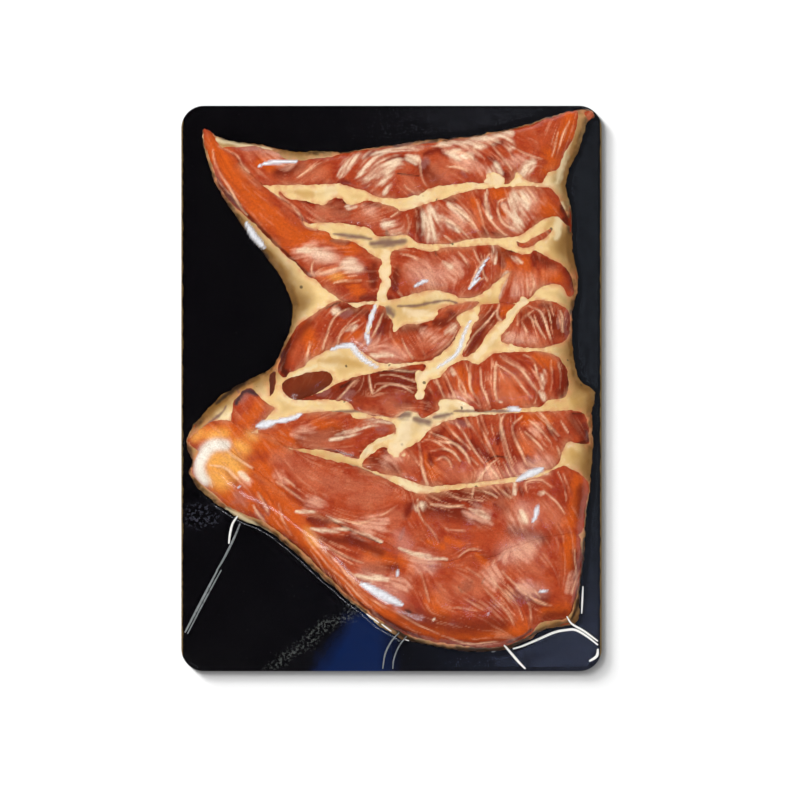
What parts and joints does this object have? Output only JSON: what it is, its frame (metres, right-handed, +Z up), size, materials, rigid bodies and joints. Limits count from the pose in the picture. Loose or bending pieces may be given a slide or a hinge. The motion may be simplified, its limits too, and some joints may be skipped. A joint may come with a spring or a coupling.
{
  "type": "trout gravlax",
  "caption": "Thin slices of cured trout shingled with mustard sauce on a black card under clear skin film, lying flat.",
  "frame": {"origin": "centre of the underside of the card", "axes": "+Z up out of the card, +Y along its long side, +X along its short side"},
  "size_m": [0.168, 0.226, 0.0097],
  "materials": {
    "card": "glossy black laminated card, worn to a brown line at the cut edge",
    "sauce": "wet pale yellow mustard sauce with dark herb specks",
    "fish": "wet orange-red cured trout with pale fat lines",
    "dark_fish": "wet dark red-brown trout",
    "film": "clear glossy skin film with sharp creases"
  },
  "bodies": {
    "root": {"card": "card", "sauce": "sauce", "slice_1": "fish", "slice_2": "fish", "slice_3": "fish", "slice_4": "fish", "slice_5": "fish", "slice_6": "fish", "slice_7": "fish", "slice_8": "fish", "sliver": "fish", "flap": "fish", "loose_scrap": "dark_fish", "sauce_scrap": "dark_fish", "film": "film"}
  },
  "joints": []
}
